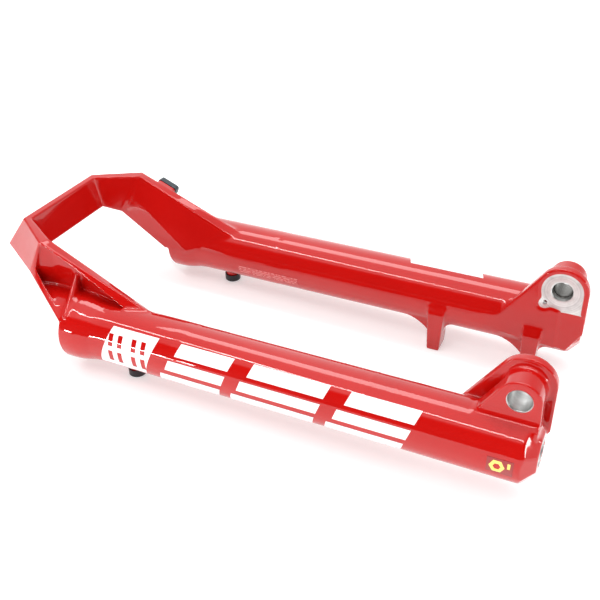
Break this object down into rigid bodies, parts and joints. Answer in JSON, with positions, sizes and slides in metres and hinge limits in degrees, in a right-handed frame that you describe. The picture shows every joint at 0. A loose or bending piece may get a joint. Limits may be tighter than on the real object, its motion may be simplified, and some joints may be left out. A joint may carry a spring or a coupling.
{
  "type": "suspension fork lower leg assembly",
  "caption": "Lower legs of a single-crown suspension fork: arch, dropouts, brake posts, bushings, seals and press-to-open air relief valves.",
  "frame": {"origin": "middle of the wheel axle, half way between the two hub faces", "axes": "+X along the legs from the arch towards the wheel axle, +Y from the drive side leg to the brake side leg, +Z out of the front of the fork, so the fork lies on its back"},
  "size_m": [0.443, 0.2038, 0.1002],
  "materials": {
    "red_paint": "deep red gloss paint under clear coat",
    "black_rubber": "satin black rubber",
    "steel": "plain steel",
    "foam": "oil-soaked open foam",
    "bushing_liner": "dull bronze-coloured bearing liner",
    "black_plastic": "satin moulded plastic",
    "aluminium": "turned aluminium",
    "white_vinyl": "gloss white vinyl",
    "gold_vinyl": "gold metallic vinyl",
    "tinted_film": "smoked clear film over the red paint",
    "label_film": "clear film with pale printing"
  },
  "bodies": {
    "lower_legs": {"badge_film": "tinted_film", "dust_wiper_brake": "black_rubber", "dust_wiper_drive": "black_rubber", "emblem_brake": "white_vinyl", "emblem_drive": "white_vinyl", "foam_ring_brake": "foam", "foam_ring_drive": "foam", "front_stripe_brake": "white_vinyl", "garter_spring_brake": "steel", "garter_spring_drive": "steel", "hose_guide": "black_plastic", "hose_guide_screw": "steel", "leg_stripes_brake": "white_vinyl", "leg_stripes_drive": "white_vinyl", "lower_bushing_brake": "bushing_liner", "lower_bushing_drive": "bushing_liner", "lower_leg_casting": "red_paint", "relief_valve_body_brake": "aluminium", "relief_valve_body_drive": "aluminium", "relief_valve_spring_brake": "steel", "relief_valve_spring_drive": "steel", "service_label": "label_film", "size_badge": "gold_vinyl", "upper_bushing_brake": "bushing_liner", "upper_bushing_drive": "bushing_liner"},
    "valve_button_drive": {"relief_valve_button_drive": "black_plastic", "relief_valve_stem_drive": "aluminium", "relief_valve_o_ring_drive": "black_rubber"},
    "valve_button_brake": {"relief_valve_button_brake": "black_plastic", "relief_valve_stem_brake": "aluminium", "relief_valve_o_ring_brake": "black_rubber"}
  },
  "joints": [
    {"name": "drive_relief_press", "type": "slide", "parent": "lower_legs", "child": "valve_button_drive", "axis": [0, 0, 1], "range_m": [0, 0.0012], "stiffness_N_per_m": 3000, "springref_m": -0.003, "deforming": ["relief_valve_spring_drive"]},
    {"name": "brake_relief_press", "type": "slide", "parent": "lower_legs", "child": "valve_button_brake", "axis": [0, 0, 1], "range_m": [0, 0.0012], "stiffness_N_per_m": 3000, "springref_m": -0.003, "deforming": ["relief_valve_spring_brake"]}
  ]
}
